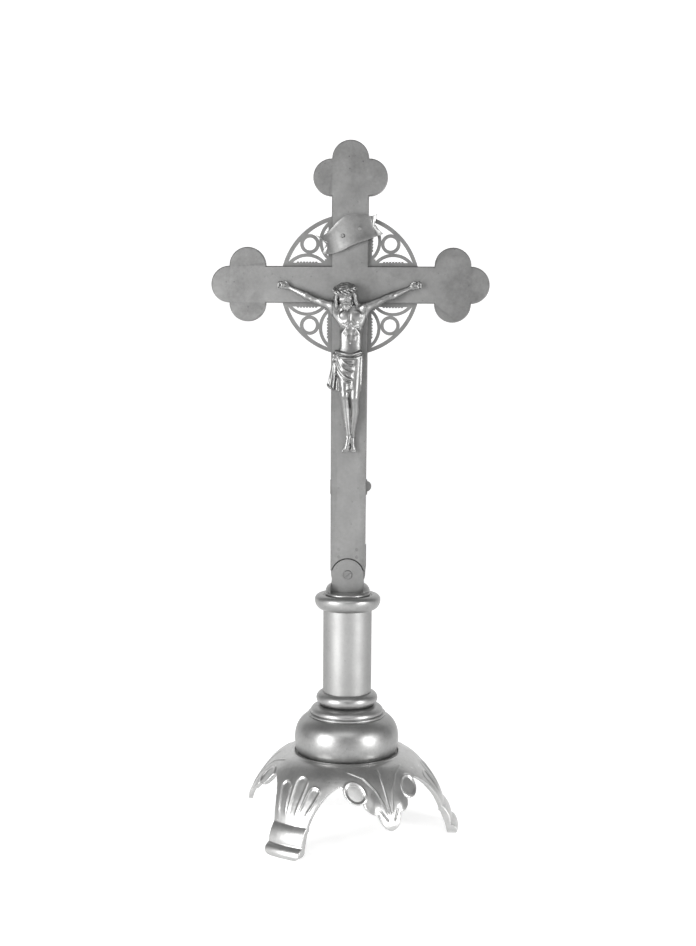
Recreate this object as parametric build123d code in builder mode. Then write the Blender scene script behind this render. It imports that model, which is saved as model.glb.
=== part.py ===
from build123d import *
import os

# Altar crucifix: a budded Latin cross with openwork ring, scroll and corpus, pivoted on a turned
# stand with three legs and three hanging leaves.  Millimetres, +Z up, front faces -Y, origin on
# the stand's axis at the floor.

os.makedirs("parts", exist_ok=True)

# ---------------------------------------------------------------- cross
CROSS_T = 6.0            # thickness of the cross plate
CROSS_Z = 395.0          # height of the arms' centre line
BAR_W = 26.0             # width of the arms and of the upper post
FOOT_W = 25.0            # width of the shaft at its foot
ARM_SQUARE = 85.8        # half span of the arms without the end lobes
TOP_SQUARE = 483.0       # height of the upper post without its end lobe
LOBE_R = 13.0            # radius of the semicircular lobes
LOBE_OUT = 13.3          # side lobes' centres off the bar's centre line
EDGE_BEVEL = 0.6

# ---------------------------------------------------------------- knuckle
PIVOT_Z = 187.0
LUG_R = 11.3             # round head of the lug
LUG_FLARE = 11.7         # half width of the lug where it leaves the cap
LUG_BACK = 0.2           # the lug's back stays this far from the rear ear
ARC_GAP = 0.35           # between the lug's head and the cross's concave foot
SHOULDER_UP = 3.0        # horns of the cross's foot end this far above the pivot
EAR_T = 2.5
EAR_R = 12.4
EAR_W = 12.9             # half width of the rear ear above the pivot
EAR_TOP = 208.5
PIVOT_R = 2.5
PIVOT_FIT = 0.04         # radial running clearance on the pivot screw
PIVOT_HEAD_R = 3.4
PIVOT_HEAD_H = 0.9
WASHER_R = 5.0
WASHER_H = 0.8
NUT_R = 4.4
NUT_H = 2.8
FACE_GAP = 0.1           # between flat faces that slide on each other
RIVET_R = 1.2
RIVET_Z = (200.0, 205.5)
RIVET_X = 6.5

# ---------------------------------------------------------------- stand, radii and heights
ROD_R = 4.0
ROD_FIT = 0.1
FLOOR_SEAT = 56.0        # flat on the dome that carries the bulb
BULB_TOP = 84.0
FILLET_TOP = 85.6
OGEE_TOP = 91.5
TORUS_TOP = 101.1
COLUMN_TOP = 161.8
COLLAR_TOP = 171.7
CAP_FLAT = 174.2         # floor of the slot in the cap
CAP_TOP = 180.8
SLOT_HALF = 11.9
COLUMN_R = 17.6
TUBE_WALL = 2.6
SPIGOT = 4.0             # length of the spigots that centre the column tube
SPIGOT_FIT = 0.15
TORUS_R = 4.8
TORUS_RING = 17.5
COLLAR_R = 23.75
COLLAR_FOOT_R = 17.75
COLLAR_LIP_R = 17.2
COLLAR_CENTRE_Z = 168.9
CAP_R = 16.4
CAP_TOP_R = 11.0
OGEE_HIGH_R = 19.6
OGEE_LOW_R = 26.4
FILLET_R = 28.3
BULB_FOOT_R = 36.0
BULB_TOP_R = 28.0
STEM_R = 6.0

# ---------------------------------------------------------------- tripod
WALL = 3.0
FOOT_HALF = 14.5

# ---------------------------------------------------------------- ring
RING_R = 49.7
RING_BAND = 2.8
RING_T = 2.6
RING_SET_BACK = 1.0      # the openwork stands this far behind the middle of the cross
EDGE_STRIP = 2.5
EYE_AT = 28.7
EYE_OUT = 6.9
EYE_IN = 4.5
LENS_LONG = 30.6
LENS_SHORT = 4.6
LENS_OUT = 17.4
LENS_IN = 15.1
TOOTH_R = 0.9

# ---------------------------------------------------------------- figure
NAIL_R = 0.8
NAIL_HEAD_R = 1.5
HAND_X = 46.4
HAND_Z = CROSS_Z - 0.8
FOOT_NAIL_Z = CROSS_Z - 114.5
FRONT_Y = -CROSS_T / 2
PALM_FRONT = -7.6
INSTEP_FRONT = -9.4


def finish(builder, name):
    """Label one finished piece and write it."""
    builder.part.label = name
    export_step(builder.part, f"parts/{name}.step")


def front_plane(y):
    """Plane facing the front at depth y, with its own x along +X and y along +Z."""
    return Plane.XZ.offset(-y)


# ================================================================ cross plate
LOBES = [
    (-ARM_SQUARE, CROSS_Z),
    (ARM_SQUARE, CROSS_Z),
    (0, TOP_SQUARE),
]
for side in (-1, 1):
    for up in (-1, 1):
        LOBES.append((side * (ARM_SQUARE - LOBE_R), CROSS_Z + up * LOBE_OUT))
    LOBES.append((side * LOBE_OUT, TOP_SQUARE - LOBE_R))
RIVETS = [(side * RIVET_X, z) for side in (-1, 1) for z in RIVET_Z]
SCROLL_PINS = [(-5.0, CROSS_Z + 34.0), (7.0, CROSS_Z + 39.0)]
BAND_Z = 250.3
BAND_PINS = [(-7.0, BAND_Z), (7.0, BAND_Z)]
HAND_PINS = [(-HAND_X, HAND_Z), (HAND_X, HAND_Z)]
SMALL_PIN_R = 0.7

with BuildPart() as cross_body:
    with BuildSketch(front_plane(CROSS_T / 2)):
        with Locations((0, CROSS_Z)):
            Rectangle(2 * ARM_SQUARE, BAR_W)
        with BuildLine():
            Polyline(
                (-BAR_W / 2, TOP_SQUARE),
                (-BAR_W / 2, CROSS_Z - BAR_W / 2),
                (-FOOT_W / 2, PIVOT_Z + SHOULDER_UP),
                (FOOT_W / 2, PIVOT_Z + SHOULDER_UP),
                (BAR_W / 2, CROSS_Z - BAR_W / 2),
                (BAR_W / 2, TOP_SQUARE),
                close=True,
            )
        make_face()
        with Locations(*LOBES):
            Circle(LOBE_R)
        with Locations((0, PIVOT_Z)):
            Circle(LUG_R + ARC_GAP, mode=Mode.SUBTRACT)
    extrude(amount=CROSS_T)
    chamfer(cross_body.faces().filter_by(Axis.Y).edges(), EDGE_BEVEL)
    with BuildSketch(front_plane(CROSS_T / 2)):
        with Locations(*HAND_PINS, (0, FOOT_NAIL_Z)):
            Circle(NAIL_R)
        with Locations(*RIVETS):
            Circle(RIVET_R)
        with Locations(*SCROLL_PINS, *BAND_PINS):
            Circle(SMALL_PIN_R)
    extrude(amount=CROSS_T, mode=Mode.SUBTRACT)
finish(cross_body, "cross_body")


# ================================================================ openwork ring, one node per angle
def annulus(outer, inner):
    """Flat ring as a free face."""
    return Circle(outer) - Circle(inner)


BAND_FACE = annulus(RING_R, RING_R - RING_BAND)
LENS_FACE = annulus(LENS_OUT, LENS_IN)


def ring_quarter(across, up):
    """Openwork plate in one angle of the cross: across and up are -1 or 1."""
    half = BAR_W / 2
    span = RING_R - half
    mid = half + span / 2
    strip = half + EDGE_STRIP / 2
    corner = half + 2 * EDGE_STRIP / 2
    centre_z = CROSS_Z
    with BuildPart() as quarter:
        with BuildSketch(front_plane(RING_SET_BACK + RING_T / 2)):
            with Locations((0, centre_z)):
                add(BAND_FACE)
            with Locations(
                (across * LENS_LONG, centre_z + up * LENS_SHORT),
                (across * LENS_SHORT, centre_z + up * LENS_LONG),
            ):
                add(LENS_FACE)
            with Locations((across * EYE_AT, centre_z + up * EYE_AT)):
                Circle(EYE_OUT)
            with Locations((across * mid, centre_z + up * strip)):
                Rectangle(span, EDGE_STRIP)
            with Locations((across * strip, centre_z + up * mid)):
                Rectangle(EDGE_STRIP, span)
            with Locations((across * corner, centre_z + up * corner)):
                Rectangle(2 * EDGE_STRIP, 2 * EDGE_STRIP)
            for tooth in range(-3, 4):
                along = LENS_LONG + tooth * 2.4 * TOOTH_R
                edge = half + EDGE_STRIP
                with Locations(
                    (across * along, centre_z + up * edge),
                    (across * edge, centre_z + up * along),
                ):
                    Circle(TOOTH_R)
            with Locations((across * EYE_AT, centre_z + up * EYE_AT)):
                Circle(EYE_IN, mode=Mode.SUBTRACT)
            with Locations((across * mid, centre_z + up * mid)):
                Rectangle(span, span, mode=Mode.INTERSECT)
            with Locations((0, centre_z)):
                Circle(RING_R, mode=Mode.INTERSECT)
        extrude(amount=RING_T)
    return quarter


for across, side_word in ((-1, "left"), (1, "right")):
    for up, level_word in ((-1, "lower"), (1, "upper")):
        finish(ring_quarter(across, up), f"ring_{level_word}_{side_word}")

# ================================================================ scroll above the head
SCROLL_BACK = -4.2       # rear face of the tails
SCROLL_FOLD = -5.4       # tails end and the panel begins at this depth
SCROLL_FRONT = -6.6

with BuildPart() as titulus_scroll:
    with BuildSketch(front_plane(SCROLL_FOLD)):
        with BuildLine():
            lower = ThreePointArc(
                (-8.0, CROSS_Z + 26.0), (4.0, CROSS_Z + 27.6), (15.5, CROSS_Z + 32.5)
            )
            right_side = Line(lower @ 1, (12.6, CROSS_Z + 45.0))
            upper = ThreePointArc(right_side @ 1, (1.5, CROSS_Z + 48.0), (-9.5, CROSS_Z + 41.6))
            Line(upper @ 1, lower @ 0)
        make_face()
    extrude(amount=SCROLL_FOLD - SCROLL_FRONT)
    with BuildSketch(front_plane(SCROLL_BACK)):
        with BuildLine():
            Polyline(
                (-6.0, CROSS_Z + 39.0),
                (-22.7, CROSS_Z + 33.4),
                (-15.0, CROSS_Z + 30.9),
                (-20.3, CROSS_Z + 21.3),
                (-5.0, CROSS_Z + 26.5),
                close=True,
            )
        make_face()
        with BuildLine():
            Polyline(
                (10.5, CROSS_Z + 46.2),
                (18.9, CROSS_Z + 48.5),
                (13.7, CROSS_Z + 40.8),
                (23.5, CROSS_Z + 35.1),
                (11.5, CROSS_Z + 32.0),
                close=True,
            )
        make_face()
    extrude(amount=SCROLL_BACK - SCROLL_FOLD)
    with BuildSketch(front_plane(SCROLL_BACK)):
        with Locations(*SCROLL_PINS):
            Circle(SMALL_PIN_R)
    extrude(amount=SCROLL_BACK - SCROLL_FRONT, mode=Mode.SUBTRACT)
finish(titulus_scroll, "titulus_scroll")


def row_of_pins(spots, radius, back, front, head_radius, head_height):
    """Identical pins along Y, each with a domed head at its front end."""
    with BuildPart() as pins:
        with BuildSketch(front_plane(back)):
            with Locations(*spots):
                Circle(radius)
        extrude(amount=back - front)
        with BuildSketch(front_plane(front)):
            with Locations(*spots):
                Circle(head_radius)
        extrude(amount=head_height, taper=25)
    return pins


finish(
    row_of_pins(SCROLL_PINS, SMALL_PIN_R, CROSS_T / 2, SCROLL_FRONT, 2 * SMALL_PIN_R, SMALL_PIN_R),
    "titulus_pins",
)

# ================================================================ corpus
def oval_loft(sections):
    """Loft through horizontal ovals: (height over the arms' centre line, x, y, half width, half depth)."""
    outlines = []
    for rise, x, y, wide, deep in sections:
        with BuildSketch(Plane((x, y, CROSS_Z + rise))) as outline:
            Ellipse(wide, deep)
        outlines.append(outline.sketch.face())
    loft(outlines)


TRUNK = (
    (-13.0, -1.0, -8.4, 8.5, 3.4),
    (-17.5, -0.6, -8.6, 10.6, 4.4),
    (-26.0, 1.0, -8.8, 8.6, 4.9),
    (-34.0, 1.1, -8.6, 6.4, 4.2),
    (-42.5, 0.4, -8.6, 7.0, 4.4),
    (-49.0, 0.3, -8.8, 9.9, 4.9),
)
CLOTH = (
    (-49.0, 0.3, -8.8, 9.9, 4.9),
    (-61.0, -0.3, -9.4, 9.4, 5.2),
    (-75.0, -0.7, -9.6, 8.4, 5.0),
)
SHINS = (
    (-75.0, -0.7, -9.4, 7.4, 4.4),
    (-83.0, -0.6, -9.2, 6.6, 4.2),
    (-94.0, 0.0, -7.6, 5.0, 3.6),
    (-106.0, 0.6, -6.4, 2.9, 2.6),
)
FEET = (
    (-106.0, 0.6, -6.4, 2.9, 2.6),
    (-112.0, 0.3, -6.4, 4.2, 3.0),
    (-119.5, 0.0, -6.2, 3.6, 2.0),
)
HEAD_AT = (-3.4, -11.2, CROSS_Z - 8.8)
HEAD_R = 7.0
HEAD_TALL = 1.36         # head and hair, height over width
SWAG = (
    (-8.0, CROSS_Z - 51.0),
    (-13.4, CROSS_Z - 52.0),
    (-15.4, CROSS_Z - 72.0),
    (-9.0, CROSS_Z - 73.5),
)
SWAG_T = 4.0
SWAG_BACK = -5.0
FOOT_BORE_DEEP = 12.0

head_form = scale(Sphere(HEAD_R), by=(1, 1.05, HEAD_TALL))

with BuildPart() as corpus_body:
    oval_loft(TRUNK)
    oval_loft(CLOTH)
    oval_loft(SHINS)
    oval_loft(FEET)
    with Locations(HEAD_AT):
        add(head_form)
    with BuildSketch(front_plane(SWAG_BACK)):
        with BuildLine():
            Polyline(*SWAG, close=True)
        make_face()
    extrude(amount=SWAG_T)
    with BuildSketch(front_plane(FRONT_Y)):
        with Locations((0, FOOT_NAIL_Z)):
            Circle(NAIL_R)
    extrude(amount=FOOT_BORE_DEEP, mode=Mode.SUBTRACT)
finish(corpus_body, "corpus_body")

# each arm is a row of round sections along a sagging line: (x, y, z, radius)
ARM_LINE = (
    (11.5, -8.4, CROSS_Z - 15.6, 3.9),
    (18.0, -8.2, CROSS_Z - 12.8, 3.3),
    (26.1, -7.6, CROSS_Z - 9.6, 2.7),
    (34.0, -6.8, CROSS_Z - 5.8, 2.3),
    (42.6, -5.2, CROSS_Z - 2.0, 1.7),
)
PALM_HALF_L = 4.6
PALM_HALF_H = 2.6
PALM_T = 3.4
PALM_TILT = 12.0
PALM_ROUND = 1.1


def arm(side):
    """Arm from the shoulder to the nailed hand; side is -1 or 1."""
    outlines = []
    for at, (x, y, z, radius) in enumerate(ARM_LINE):
        before = ARM_LINE[max(at - 1, 0)]
        after = ARM_LINE[min(at + 1, len(ARM_LINE) - 1)]
        along = (side * (after[0] - before[0]), after[1] - before[1], after[2] - before[2])
        with BuildSketch(Plane((side * x, y, z), z_dir=along)) as outline:
            Circle(radius)
        outlines.append(outline.sketch.face())
    with BuildPart() as limb:
        with BuildSketch(front_plane(FRONT_Y)):
            with Locations((side * (HAND_X - 0.6), HAND_Z)):
                Ellipse(PALM_HALF_L, PALM_HALF_H, rotation=side * PALM_TILT)
        extrude(amount=PALM_T)
        fillet(limb.faces().sort_by(Axis.Y)[0].edges(), PALM_ROUND)
        loft(outlines)
        with BuildSketch(front_plane(FRONT_Y)):
            with Locations((side * HAND_X, HAND_Z)):
                Circle(NAIL_R)
        extrude(amount=FOOT_BORE_DEEP, mode=Mode.SUBTRACT)
        trunk_plane = Plane((side * ARM_LINE[0][0], 0, 0), z_dir=(side, 0, 0))
        split(bisect_by=trunk_plane, keep=Keep.TOP)
    return limb


finish(arm(-1), "corpus_arm_left")
finish(arm(1), "corpus_arm_right")
finish(
    row_of_pins(HAND_PINS, NAIL_R, CROSS_T / 2, PALM_FRONT, NAIL_HEAD_R, NAIL_R),
    "hand_nails",
)
finish(
    row_of_pins([(0, FOOT_NAIL_Z)], NAIL_R, CROSS_T / 2, INSTEP_FRONT, NAIL_HEAD_R, NAIL_R),
    "foot_nail",
)

# ================================================================ back of the cross
BAND_T = 2.2
BAND_HALF_H = 6.0
BAND_HALF_W = 13.4
LEAF_R = 3.9

with BuildPart() as back_band:
    with BuildSketch(front_plane(CROSS_T / 2 + BAND_T)):
        with Locations((0, BAND_Z)):
            RectangleRounded(2 * BAND_HALF_W, 2 * BAND_HALF_H, 1.5)
            with Locations((BAND_HALF_W - 1.0, 0.6)):
                Circle(LEAF_R)
        with Locations(*BAND_PINS):
            Circle(SMALL_PIN_R, mode=Mode.SUBTRACT)
    extrude(amount=BAND_T)
finish(back_band, "back_band")


def rear_rivets(spots, radius, back):
    """Rivets through the cross and the fitting on its back, with a low head behind."""
    with BuildPart() as rivets:
        with BuildSketch(front_plane(back)):
            with Locations(*spots):
                Circle(radius)
        extrude(amount=back - FRONT_Y)
        with BuildSketch(front_plane(back)):
            with Locations(*spots):
                Circle(2 * radius)
        extrude(amount=-radius, taper=25)
    return rivets


finish(rear_rivets(BAND_PINS, SMALL_PIN_R, CROSS_T / 2 + BAND_T), "band_rivets")
finish(rear_rivets(RIVETS, RIVET_R, CROSS_T / 2 + EAR_T), "ear_rivets")

with BuildPart() as rear_ear:
    with BuildSketch(front_plane(CROSS_T / 2 + EAR_T)):
        with Locations((0, PIVOT_Z)):
            Circle(EAR_R)
        with BuildLine():
            Polyline(
                (-EAR_R, PIVOT_Z),
                (-EAR_W, PIVOT_Z + 2 * SHOULDER_UP),
                (-EAR_W, EAR_TOP),
                (EAR_W, EAR_TOP),
                (EAR_W, PIVOT_Z + 2 * SHOULDER_UP),
                (EAR_R, PIVOT_Z),
                close=True,
            )
        make_face()
        with Locations((0, PIVOT_Z)):
            Circle(PIVOT_R + PIVOT_FIT, mode=Mode.SUBTRACT)
        with Locations(*RIVETS):
            Circle(RIVET_R, mode=Mode.SUBTRACT)
    extrude(amount=EAR_T)
finish(rear_ear, "rear_ear")

# ================================================================ knuckle, fixed side
LUG_FRONT = FRONT_Y
LUG_T = CROSS_T - LUG_BACK
EAR_BACK = CROSS_T / 2 + EAR_T

with BuildPart() as knuckle_lug:
    with BuildSketch(front_plane(LUG_FRONT + LUG_T)):
        with Locations((0, PIVOT_Z)):
            Circle(LUG_R)
        with BuildLine():
            Polyline(
                (-LUG_R, PIVOT_Z),
                (-LUG_FLARE, CAP_TOP),
                (-LUG_FLARE, CAP_FLAT),
                (LUG_FLARE, CAP_FLAT),
                (LUG_FLARE, CAP_TOP),
                (LUG_R, PIVOT_Z),
                close=True,
            )
        make_face()
        with Locations((0, PIVOT_Z)):
            Circle(PIVOT_R, mode=Mode.SUBTRACT)
    extrude(amount=LUG_T)
    with BuildSketch(Plane.XY.offset(COLUMN_TOP + SPIGOT)):
        Circle(STEM_R)
    extrude(amount=CAP_FLAT - COLUMN_TOP - SPIGOT)
    with BuildSketch(Plane.XY.offset(COLUMN_TOP + SPIGOT)):
        Circle(ROD_R)
    extrude(amount=SPIGOT, mode=Mode.SUBTRACT)
finish(knuckle_lug, "knuckle_lug")

SLOT_W = 0.9
SLOT_DEEP = 0.5

with BuildPart() as pivot_screw:
    with BuildSketch(front_plane(EAR_BACK + FACE_GAP + WASHER_H + NUT_H)):
        with Locations((0, PIVOT_Z)):
            Circle(PIVOT_R)
    extrude(amount=EAR_BACK + FACE_GAP + WASHER_H + NUT_H - FRONT_Y)
    with BuildSketch(front_plane(FRONT_Y)):
        with Locations((0, PIVOT_Z)):
            Circle(PIVOT_HEAD_R)
    extrude(amount=PIVOT_HEAD_H, taper=20)
    with BuildSketch(front_plane(FRONT_Y - PIVOT_HEAD_H)):
        with Locations((0, PIVOT_Z)):
            Rectangle(2 * PIVOT_HEAD_R, SLOT_W, rotation=35)
    extrude(amount=-SLOT_DEEP, mode=Mode.SUBTRACT)
finish(pivot_screw, "pivot_screw")

with BuildPart() as pivot_washer:
    with BuildSketch(front_plane(EAR_BACK + FACE_GAP + WASHER_H)):
        with Locations((0, PIVOT_Z)):
            Circle(WASHER_R)
            Circle(PIVOT_R, mode=Mode.SUBTRACT)
    extrude(amount=WASHER_H)
finish(pivot_washer, "pivot_washer")

with BuildPart() as pivot_nut:
    with BuildSketch(front_plane(EAR_BACK + FACE_GAP + WASHER_H + NUT_H)):
        with Locations((0, PIVOT_Z)):
            RegularPolygon(NUT_R, 6)
            Circle(PIVOT_R, mode=Mode.SUBTRACT)
    extrude(amount=NUT_H)
finish(pivot_nut, "pivot_nut")

# ================================================================ cap and collar
with BuildPart() as cap:
    with BuildSketch(Plane.XZ):
        with BuildLine():
            Polyline((STEM_R, COLLAR_TOP), (CAP_R - 0.8, COLLAR_TOP))
            ThreePointArc(
                (CAP_R - 0.8, COLLAR_TOP), (CAP_R, COLLAR_TOP + 1.3), (CAP_R - 0.6, CAP_FLAT)
            )
            Line((CAP_R - 0.6, CAP_FLAT), (CAP_R - 0.4, CAP_FLAT + 1.2))
            ThreePointArc(
                (CAP_R - 0.4, CAP_FLAT + 1.2), (CAP_R - 1.8, CAP_TOP - 2.2), (CAP_TOP_R, CAP_TOP)
            )
            Polyline((CAP_TOP_R, CAP_TOP), (STEM_R, CAP_TOP), (STEM_R, COLLAR_TOP))
        make_face()
    revolve(axis=Axis.Z)
    with BuildSketch(Plane.XY.offset(CAP_FLAT)):
        Rectangle(2 * SLOT_HALF, 3 * CAP_R)
    extrude(amount=CAP_TOP - CAP_FLAT, mode=Mode.SUBTRACT)
finish(cap, "cap")

with BuildPart() as collar_ring:
    with BuildSketch(Plane.XZ):
        with BuildLine():
            Line((STEM_R, COLLAR_TOP), (COLLAR_LIP_R, COLLAR_TOP))
            Spline(
                (COLLAR_LIP_R, COLLAR_TOP),
                (COLLAR_LIP_R + 1.1, COLLAR_TOP + 0.9),
                (COLLAR_R - 3.2, COLLAR_TOP + 1.1),
                (COLLAR_R - 0.8, COLLAR_TOP - 0.3),
                (COLLAR_R, COLLAR_CENTRE_Z),
            )
            Spline(
                (COLLAR_R, COLLAR_CENTRE_Z),
                (COLLAR_FOOT_R + 4.3, COLLAR_CENTRE_Z - 5.0),
                (COLLAR_FOOT_R, COLUMN_TOP),
                tangents=[(0, -1), (-1, 0)],
            )
            inner = COLUMN_R - TUBE_WALL - SPIGOT_FIT
            Polyline(
                (COLLAR_FOOT_R, COLUMN_TOP),
                (inner, COLUMN_TOP),
                (inner, COLUMN_TOP - SPIGOT),
                (ROD_R + ROD_FIT, COLUMN_TOP - SPIGOT),
                (ROD_R + ROD_FIT, COLUMN_TOP + SPIGOT),
                (STEM_R, COLUMN_TOP + SPIGOT),
                (STEM_R, COLLAR_TOP),
            )
        make_face()
    revolve(axis=Axis.Z)
finish(collar_ring, "collar_ring")

with BuildPart() as column_tube:
    with BuildSketch(Plane.XY.offset(TORUS_TOP)):
        Circle(COLUMN_R)
        Circle(COLUMN_R - TUBE_WALL, mode=Mode.SUBTRACT)
    extrude(amount=COLUMN_TOP - TORUS_TOP)
finish(column_tube, "column_tube")

with BuildPart() as lower_torus:
    with BuildSketch(Plane.XZ):
        with BuildLine():
            ThreePointArc(
                (TORUS_RING, TORUS_TOP),
                (TORUS_RING + TORUS_R, (TORUS_TOP + OGEE_TOP) / 2),
                (TORUS_RING, OGEE_TOP),
            )
            Polyline(
                (TORUS_RING, OGEE_TOP),
                (ROD_R + ROD_FIT, OGEE_TOP),
                (ROD_R + ROD_FIT, TORUS_TOP + SPIGOT),
                (COLUMN_R - TUBE_WALL - SPIGOT_FIT, TORUS_TOP + SPIGOT),
                (COLUMN_R - TUBE_WALL - SPIGOT_FIT, TORUS_TOP),
                (TORUS_RING, TORUS_TOP),
            )
        make_face()
    revolve(axis=Axis.Z)
finish(lower_torus, "lower_torus")

with BuildPart() as ogee_ring:
    with BuildSketch(Plane.XZ):
        with BuildLine():
            Spline(
                (OGEE_LOW_R, FILLET_TOP),
                (OGEE_LOW_R + 0.1, FILLET_TOP + 1.6),
                (OGEE_LOW_R - 1.0, FILLET_TOP + 3.6),
                (OGEE_LOW_R - 3.6, FILLET_TOP + 5.1),
                (OGEE_HIGH_R, OGEE_TOP),
            )
            Polyline(
                (OGEE_HIGH_R, OGEE_TOP),
                (ROD_R + ROD_FIT, OGEE_TOP),
                (ROD_R + ROD_FIT, FILLET_TOP),
                (OGEE_LOW_R, FILLET_TOP),
            )
        make_face()
    revolve(axis=Axis.Z)
finish(ogee_ring, "ogee_ring")

with BuildPart() as fillet_ring:
    with BuildSketch(Plane.XY.offset(BULB_TOP)):
        Circle(FILLET_R)
        Circle(ROD_R + ROD_FIT, mode=Mode.SUBTRACT)
    extrude(amount=FILLET_TOP - BULB_TOP)
    fillet(fillet_ring.edges().group_by(SortBy.LENGTH)[-1], 0.6)
finish(fillet_ring, "fillet_ring")

with BuildPart() as bulb_shell:
    with BuildSketch(Plane.XZ):
        with BuildLine():
            Spline(
                (BULB_FOOT_R, FLOOR_SEAT),
                (BULB_FOOT_R + 1.9, FLOOR_SEAT + 10.5),
                (BULB_FOOT_R + 0.6, FLOOR_SEAT + 19.0),
                (BULB_TOP_R, BULB_TOP),
            )
            Polyline(
                (BULB_TOP_R, BULB_TOP),
                (ROD_R + ROD_FIT, BULB_TOP),
                (ROD_R + ROD_FIT, BULB_TOP - WALL),
                (BULB_TOP_R - 0.5, BULB_TOP - WALL),
            )
            Spline(
                (BULB_TOP_R - 0.5, BULB_TOP - WALL),
                (BULB_FOOT_R - 2.2, FLOOR_SEAT + 18.0),
                (BULB_FOOT_R - 1.1, FLOOR_SEAT + 10.5),
                (BULB_FOOT_R - WALL, FLOOR_SEAT),
            )
            Line((BULB_FOOT_R - WALL, FLOOR_SEAT), (BULB_FOOT_R, FLOOR_SEAT))
        make_face()
    revolve(axis=Axis.Z)
finish(bulb_shell, "bulb_shell")

# ================================================================ tripod base
# Legs and leaves are drawn facing -Y and turned to their places about +Z.
LEG_TURNS = (-30.0, 90.0, 210.0)
THIRD = 120.0
THIRD_GAP = 150.0        # turn of the leaf in the third of the dome that is drawn
LEG_PITCH = 60.0         # between a leg's middle and the middle of the leaf beside it
LEAF_LOW = 18.4
ARCH_TOP = 47.6
BELOW = -2.0             # cutters end under the floor
FAR = 90.0
UNDERSIDE = FLOOR_SEAT - WALL
BORE_R = ROD_R + ROD_FIT
LEG_SWEEP = 30.0

FOOT_CORNER = 5.0        # the feet's lower corners are rounded off up to this height
FOOT_FLAT = 9.5          # half width of the part of the foot that touches the floor
GUARD_TOP = (30.0, ARCH_TOP + 1.6)
GAP_START = 30.0         # cutters for the gaps start this far from the axis
DOME_LOW_R = 71.8
CREASE_UPPER = (71.8, 21.0)
CREASE_LOWER = (77.9, 8.0)
DOME_JOIN = (68.2, 30.3)
DOME_JOIN_IN = (65.3, 29.2)

# outline kept for a leg: rounded foot corners, narrow shank, flaring into the dome
with BuildPart() as leg_guard:
    with BuildSketch(front_plane(0)):
        with BuildLine():
            Line((FOOT_FLAT, BELOW), (FOOT_FLAT, 0))
            ThreePointArc((FOOT_FLAT, 0), (FOOT_HALF - 1.4, 1.5), (FOOT_HALF, FOOT_CORNER))
            Spline(
                (FOOT_HALF, FOOT_CORNER),
                (FOOT_HALF - 0.4, 12.0),
                (FOOT_HALF - 0.4, 21.0),
                (15.6, 28.0),
                (18.4, 36.0),
                (22.3, 42.5),
                (27.0, 46.6),
                GUARD_TOP,
            )
            Polyline(GUARD_TOP, (0, GUARD_TOP[1]), (0, BELOW), (FOOT_FLAT, BELOW))
        make_face()
        mirror(about=Plane.YZ)
    extrude(amount=FAR)

# space between two legs and round the leaf: tip lobe, second lobe, round lobe, arch
with BuildPart() as gap_form:
    with BuildSketch(front_plane(-GAP_START)):
        with BuildLine():
            Spline((0, LEAF_LOW), (4.2, 20.2), (7.4, 24.6), (8.6, 29.6))
            ThreePointArc((8.6, 29.6), (15.2, 32.0), (17.0, 37.6))
            ThreePointArc((17.0, 37.6), (24.6, 37.2), (27.6, 43.6))
            Spline((27.6, 43.6), (28.4, 46.0), (31.5, 47.3), (36.0, ARCH_TOP))
            Polyline((36.0, ARCH_TOP), (49.0, ARCH_TOP), (72.0, BELOW), (0, BELOW), (0, LEAF_LOW))
        make_face()
        mirror(about=Plane.YZ)
    extrude(amount=FAR - GAP_START)
    add(leg_guard.part, rotation=(0, 0, LEG_PITCH), mode=Mode.SUBTRACT)
    add(leg_guard.part, rotation=(0, 0, -LEG_PITCH), mode=Mode.SUBTRACT)


def left_of_axis(point):
    """The same point of a profile on the other side of the axis."""
    return (-point[0], point[1])


# lower leg: two bulging sections with a crease above each, ending in the foot
with BuildPart() as leg_form:
    with BuildSketch(Plane.YZ):
        with BuildLine():
            Spline(left_of_axis(DOME_JOIN), (-70.4, 25.6), left_of_axis(CREASE_UPPER))
            ThreePointArc(left_of_axis(CREASE_UPPER), (-76.3, 15.4), left_of_axis(CREASE_LOWER))
            ThreePointArc(left_of_axis(CREASE_LOWER), (-81.4, 5.9), (-82.4, 1.6))
            Polyline((-82.4, 1.6), (-81.4, 0), (-75.4, 0), (-74.2, 7.0))
            Spline((-74.2, 7.0), (-70.6, 16.0), left_of_axis(DOME_JOIN_IN))
            Line(left_of_axis(DOME_JOIN_IN), left_of_axis(DOME_JOIN))
        make_face()
    revolve(axis=Axis.Z, revolution_arc=LEG_SWEEP)
    mirror(about=Plane.YZ)
    add(leg_guard.part, mode=Mode.INTERSECT)

# a third of the dome, from the right leg's middle round to the next, with the leaf cut in it
with BuildPart() as dome_third:
    with BuildSketch(Plane.XZ):
        with BuildLine():
            Polyline((37.2, FLOOR_SEAT), (37.6, 57.4), (38.8, 57.8))
            Spline(
                (38.8, 57.8),
                (49.2, 54.1),
                (60.4, 42.4),
                DOME_JOIN,
                (71.2, 23.0),
                (DOME_LOW_R, LEAF_LOW - 1),
            )
            Line((DOME_LOW_R, LEAF_LOW - 1), (DOME_LOW_R - WALL, LEAF_LOW - 1))
            Spline(
                (DOME_LOW_R - WALL, LEAF_LOW - 1),
                (68.2, 22.4),
                DOME_JOIN_IN,
                (58.1, 40.8),
                (47.6, 51.8),
                (38.6, UNDERSIDE),
            )
            Polyline(
                (38.6, UNDERSIDE),
                (BORE_R, UNDERSIDE),
                (BORE_R, FLOOR_SEAT),
                (37.2, FLOOR_SEAT),
            )
        make_face()
    revolve(axis=Axis.Z, revolution_arc=THIRD)
    add(gap_form.part, rotation=(0, 0, THIRD_GAP), mode=Mode.SUBTRACT)

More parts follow.
